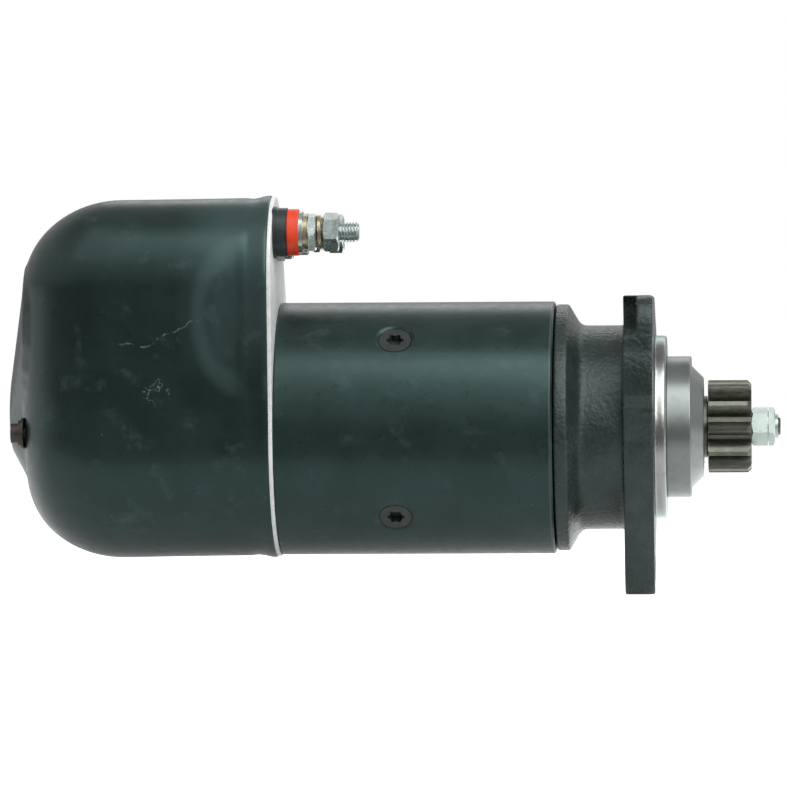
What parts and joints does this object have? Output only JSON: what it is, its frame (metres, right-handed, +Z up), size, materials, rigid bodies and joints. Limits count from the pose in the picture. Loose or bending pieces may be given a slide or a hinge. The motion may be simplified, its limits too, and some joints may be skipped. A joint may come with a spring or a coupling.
{
  "type": "starter motor",
  "caption": "Heavy-duty sliding-pinion starter motor with an offset-lobe rear cover, cast mounting flange, piloted nose and threaded power terminals.",
  "frame": {"origin": "centre of the mounting flange's front face, on the motor's axis", "axes": "+X along the motor's axis towards the pinion, +Z up towards the cover's lobe, -Y towards the side that carries the near terminal"},
  "size_m": [0.3889, 0.1562, 0.2006],
  "materials": {
    "cast_paint": "satin green-black paint on rough cast iron",
    "painted_steel": "satin green-black paint on rolled steel",
    "cover_paint": "semi-gloss green-black paint on pressed steel",
    "machined_steel": "turned steel, bare",
    "bearing_steel": "ground steel",
    "dark_steel": "hardened gear steel, oiled, brown-green tint",
    "core_iron": "soft iron",
    "black_steel": "black steel screw, painted over",
    "rusty_steel": "dark screw with a trace of rust",
    "spring_steel": "spring wire",
    "zinc": "bright zinc plate",
    "yellow_zinc": "yellow passivated zinc plate",
    "cast_aluminium": "bare die-cast aluminium, slightly speckled",
    "copper": "copper",
    "bronze": "sintered bronze",
    "brass": "pressed brass",
    "black_plastic": "moulded insulator",
    "red_plastic": "red moulded ring",
    "phenolic": "phenolic insulating sheet",
    "carbon": "copper-carbon brush block",
    "friction": "bronze-faced clutch plate",
    "rubber": "black rubber"
  },
  "bodies": {
    "housing": {"drive_end_bracket": "cast_paint", "nose_cap": "machined_steel", "drive_end_bearing": "bearing_steel", "shaft_seal": "rubber", "yoke": "painted_steel", "pole_shoes": "core_iron", "pole_shoe_screws": "black_steel", "field_coils": "copper", "through_bolts": "zinc", "intermediate_bearing_plate": "core_iron", "intermediate_bush": "bronze", "commutator_end_shield": "cast_aluminium", "commutator_end_bush": "bronze", "cover_seal": "rubber", "rear_cover": "cover_paint", "cover_screw": "rusty_steel", "cover_washer": "rusty_steel", "brush_plate": "phenolic", "brush_boxes": "brass", "brush_springs": "spring_steel", "terminal_studs": "zinc", "terminal_insulators": "black_plastic", "terminal_marker_rings": "red_plastic", "terminal_flat_washers": "zinc", "terminal_contact_washers": "yellow_zinc", "terminal_spring_washers": "yellow_zinc", "terminal_jam_nuts": "zinc", "terminal_nuts": "zinc", "control_terminal_stud": "zinc", "control_terminal_bush": "black_plastic", "control_terminal_nut": "zinc", "solenoid_can": "zinc", "solenoid_coil": "copper", "solenoid_core": "core_iron", "solenoid_end_plate": "core_iron", "plunger_return_spring": "spring_steel", "relay_can": "zinc", "relay_coil": "copper", "relay_fixed_contacts": "copper", "relay_spring": "spring_steel"},
    "armature": {"armature_shaft": "bearing_steel", "armature_core": "core_iron", "armature_windings": "copper", "commutator": "copper", "clutch_drum": "bearing_steel", "clutch_outer_plates": "bearing_steel", "clutch_spring": "spring_steel"},
    "drive_hub": {"drive_spindle": "dark_steel", "clutch_inner_plates": "friction"},
    "drive_shaft": {"pinion": "dark_steel", "engagement_rod": "dark_steel", "pinion_nut": "zinc"},
    "solenoid_plunger_body": {"solenoid_plunger": "core_iron"},
    "relay_armature": {"relay_plunger": "core_iron", "relay_contact_bridge": "copper"},
    "brush_1_body": {"brush_1": "carbon"},
    "brush_2_body": {"brush_2": "carbon"},
    "brush_3_body": {"brush_3": "carbon"},
    "brush_4_body": {"brush_4": "carbon"}
  },
  "joints": [
    {"name": "armature_spin", "type": "hinge", "parent": "housing", "child": "armature", "pos_m": [-0.12, 0, 0], "axis": [1, 0, 0], "continuous": true},
    {"name": "clutch_overrun", "type": "hinge", "parent": "armature", "child": "drive_hub", "pos_m": [-0.03, 0, 0], "axis": [1, 0, 0], "continuous": true},
    {"name": "pinion_advance", "type": "slide", "parent": "drive_hub", "child": "drive_shaft", "axis": [1, 0, 0], "range_m": [0, 0.022], "stiffness_N_per_m": 1200, "springref_m": -0.01},
    {"name": "plunger_stroke", "type": "slide", "parent": "housing", "child": "solenoid_plunger_body", "axis": [1, 0, 0], "range_m": [0, 0.022], "deforming": ["plunger_return_spring"]},
    {"name": "relay_stroke", "type": "slide", "parent": "housing", "child": "relay_armature", "axis": [1, 0, 0], "range_m": [0, 0.003], "stiffness_N_per_m": 2500, "springref_m": -0.004, "deforming": ["relay_spring"]},
    {"name": "brush_1_slide", "type": "slide", "parent": "housing", "child": "brush_1_body", "axis": [0, 0.7071, 0.7071], "range_m": [0, 0.007], "stiffness_N_per_m": 600, "springref_m": -0.01, "deforming": ["brush_springs"]},
    {"name": "brush_2_slide", "type": "slide", "parent": "housing", "child": "brush_2_body", "axis": [0, -0.7071, 0.7071], "range_m": [0, 0.007], "stiffness_N_per_m": 600, "springref_m": -0.01, "deforming": ["brush_springs"]},
    {"name": "brush_3_slide", "type": "slide", "parent": "housing", "child": "brush_3_body", "axis": [0, -0.7071, -0.7071], "range_m": [0, 0.007], "stiffness_N_per_m": 600, "springref_m": -0.01, "deforming": ["brush_springs"]},
    {"name": "brush_4_slide", "type": "slide", "parent": "housing", "child": "brush_4_body", "axis": [0, 0.7071, -0.7071], "range_m": [0, 0.007], "stiffness_N_per_m": 600, "springref_m": -0.01, "deforming": ["brush_springs"]}
  ],
  "couplings": [
    {"joint": "plunger_stroke", "follows": "pinion_advance", "ratio": 1}
  ]
}
